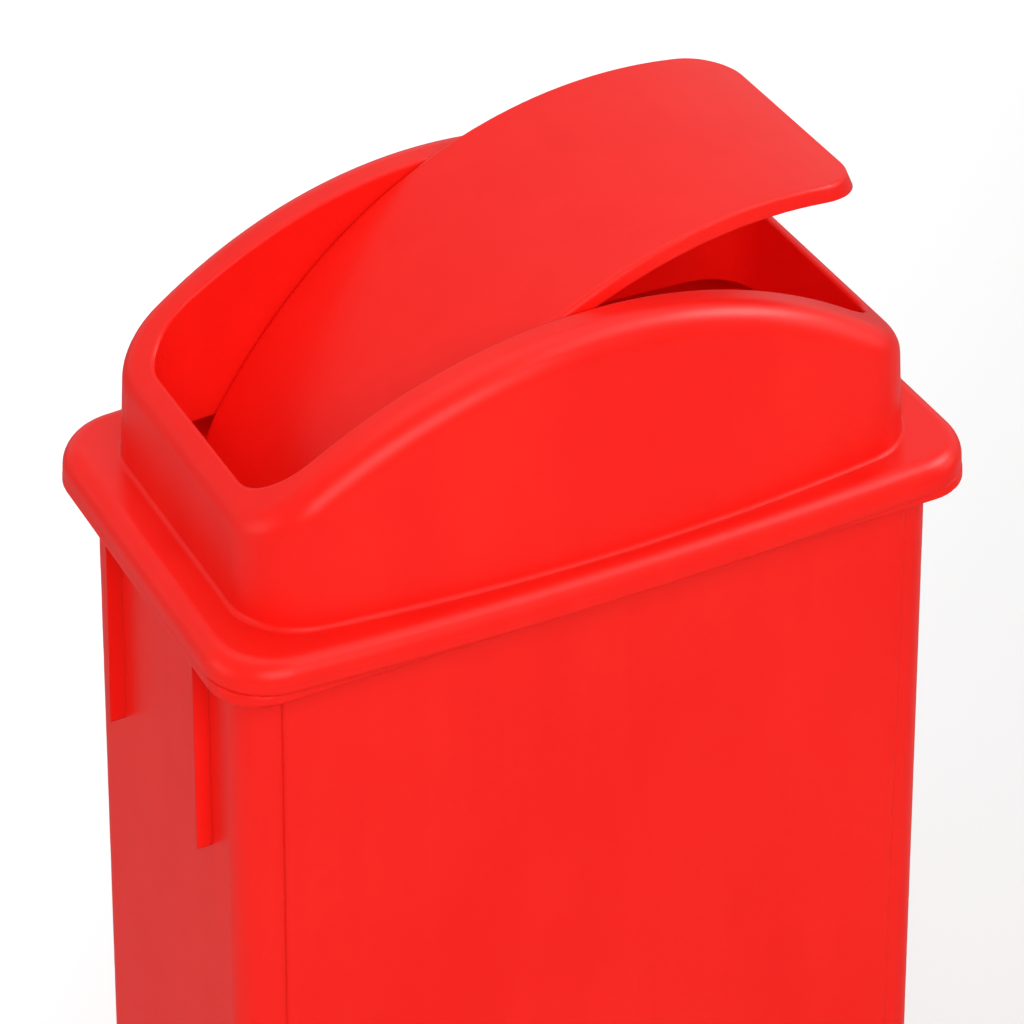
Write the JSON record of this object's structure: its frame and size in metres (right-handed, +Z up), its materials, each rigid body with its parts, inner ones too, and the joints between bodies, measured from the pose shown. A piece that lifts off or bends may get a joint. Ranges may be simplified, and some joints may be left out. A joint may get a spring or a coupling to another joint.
{
  "type": "dog waste bin",
  "caption": "Slim rectangular dog waste bin with a tapered tub, an arched lift-off hood and a curved swing flap, shown with the flap tilted open.",
  "frame": {"origin": "centre of the footprint on the ground, under the four feet", "axes": "+Z up, +X along the long side towards the raised end of the flap, -Y the front face"},
  "size_m": [0.516, 0.3102, 0.7782],
  "materials": {
    "red_plastic": "satin moulded polypropylene",
    "rubber": "matte",
    "wire": "bright drawn wire",
    "grip": "matte",
    "bush": "satin",
    "pin": "turned",
    "clip": "spring steel",
    "weight": "zinc plated"
  },
  "bodies": {
    "bin": {"bin_body": "red_plastic", "foot_front_left": "rubber", "foot_front_right": "rubber", "foot_rear_left": "rubber", "foot_rear_right": "rubber"},
    "bag_frame": {"bag_frame": "wire", "bag_frame_grips": "grip"},
    "hood": {"lid_hood": "red_plastic", "pivot_bush_front": "bush", "pivot_bush_rear": "bush", "stop_buffers": "rubber"},
    "flap": {"swing_flap": "red_plastic", "pivot_pin_front": "pin", "pivot_pin_rear": "pin", "pin_clip_front": "clip", "pin_clip_rear": "clip", "flap_weight_left": "weight", "flap_weight_right": "weight", "weight_screws": "pin"}
  },
  "joints": [
    {"name": "lid_lift", "type": "slide", "parent": "bin", "child": "hood", "axis": [0, 0, 1], "range_m": [0, 0.25]},
    {"name": "bag_frame_lift", "type": "slide", "parent": "bin", "child": "bag_frame", "axis": [0, 0, 1], "range_m": [0, 0.03]},
    {"name": "flap_swing", "type": "hinge", "parent": "hood", "child": "flap", "pos_m": [0, 0, 0.7075], "axis": [0, -1, 0], "range_deg": [-74.3, 25.7]}
  ]
}
